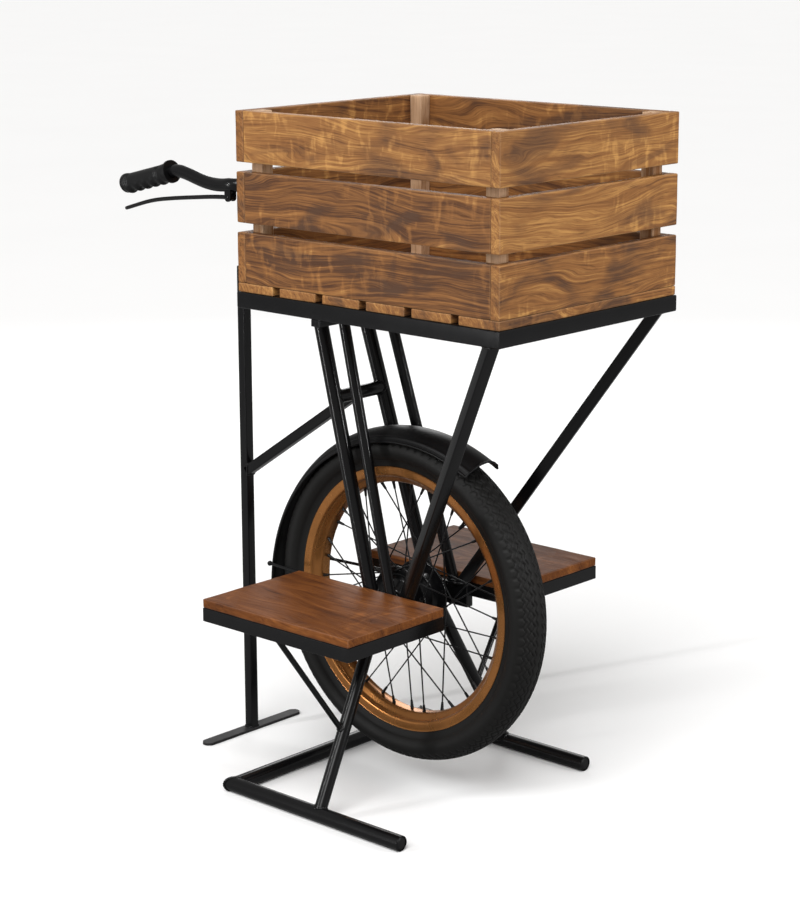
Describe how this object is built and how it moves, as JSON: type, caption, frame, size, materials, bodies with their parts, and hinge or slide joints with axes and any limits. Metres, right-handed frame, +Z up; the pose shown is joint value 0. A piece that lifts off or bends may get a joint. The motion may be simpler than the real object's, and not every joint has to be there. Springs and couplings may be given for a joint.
{
  "type": "display cart",
  "caption": "Standing serving cart: an open slatted wooden crate on a black steel frame, with a spoked wheel, mudguard, two side shelves and a handlebar.",
  "frame": {"origin": "the floor under the middle of the object's overall box", "axes": "+X towards the front, where the mudguard's nose is, away from the handlebar; +Y to the cart's left; +Z up"},
  "size_m": [0.879, 0.6428, 1.1836],
  "materials": {
    "crate_wood": "honey-brown hardwood boards, oiled, swirling grain and dark knots",
    "shelf_wood": "red-brown hardwood boards, waxed",
    "black_frame_paint": "satin black paint on welded steel",
    "black_lever_paint": "gloss black paint on round bar",
    "grip_rubber": "smooth black rubber",
    "tyre_rubber": "dull black rubber with a zigzag tread",
    "gold_rim_paint": "satin gold-bronze paint on steel",
    "black_spoke_steel": "black steel wire and nipples",
    "bare_steel": "zinc-plated steel, dulled"
  },
  "bodies": {
    "cart": {"front_plank_lower": "crate_wood", "rear_plank_lower": "crate_wood", "left_plank_lower": "crate_wood", "right_plank_lower": "crate_wood", "front_plank_middle": "crate_wood", "rear_plank_middle": "crate_wood", "left_plank_middle": "crate_wood", "right_plank_middle": "crate_wood", "front_plank_upper": "crate_wood", "rear_plank_upper": "crate_wood", "left_plank_upper": "crate_wood", "right_plank_upper": "crate_wood", "floor_slat_1": "crate_wood", "floor_slat_2": "crate_wood", "floor_slat_3": "crate_wood", "floor_slat_4": "crate_wood", "floor_slat_5": "crate_wood", "floor_slat_6": "crate_wood", "corner_post_front_left": "crate_wood", "corner_post_front_right": "crate_wood", "corner_post_rear_left": "crate_wood", "corner_post_rear_right": "crate_wood", "top_frame": "black_frame_paint", "fork_leg_left": "black_frame_paint", "fork_side_tube_left": "black_frame_paint", "front_diagonal_left": "black_frame_paint", "axle_bar_left": "black_frame_paint", "base_side_tube_left": "black_frame_paint", "strut_left": "black_frame_paint", "shelf_rod_left": "black_frame_paint", "shelf_frame_left": "black_frame_paint", "fork_leg_right": "black_frame_paint", "fork_side_tube_right": "black_frame_paint", "front_diagonal_right": "black_frame_paint", "axle_bar_right": "black_frame_paint", "base_side_tube_right": "black_frame_paint", "strut_right": "black_frame_paint", "shelf_rod_right": "black_frame_paint", "shelf_frame_right": "black_frame_paint", "fork_crown_and_brace": "black_frame_paint", "rear_leg": "black_frame_paint", "base_cross_tube": "black_frame_paint", "mudguard": "black_frame_paint", "handlebar": "black_frame_paint", "bar_bracket": "black_frame_paint", "shelf_board_left": "shelf_wood", "shelf_board_right": "shelf_wood", "grip_left": "grip_rubber", "grip_right": "grip_rubber", "axle": "bare_steel"},
    "wheel": {"rim": "gold_rim_paint", "tyre": "tyre_rubber", "hub_shell": "black_frame_paint", "hub_bearing_left": "bare_steel", "hub_bearing_right": "bare_steel", "spokes_left": "black_spoke_steel", "spokes_right": "black_spoke_steel"},
    "lever_left": {"brake_lever_left": "black_lever_paint"},
    "lever_right": {"brake_lever_right": "black_lever_paint"}
  },
  "joints": [
    {"name": "wheel_spin", "type": "hinge", "parent": "cart", "child": "wheel", "pos_m": [0.05304, 0, 0.34], "axis": [0, 1, 0], "continuous": true},
    {"name": "lever_left_squeeze", "type": "hinge", "parent": "cart", "child": "lever_left", "pos_m": [-0.16896, 0.2, 1.035], "axis": [0, 1, 0], "range_deg": [0, 4], "stiffness_Nm_per_rad": 3, "springref_deg": -2.86},
    {"name": "lever_right_squeeze", "type": "hinge", "parent": "cart", "child": "lever_right", "pos_m": [-0.16896, -0.2, 1.035], "axis": [0, 1, 0], "range_deg": [0, 4], "stiffness_Nm_per_rad": 3, "springref_deg": -2.86}
  ]
}
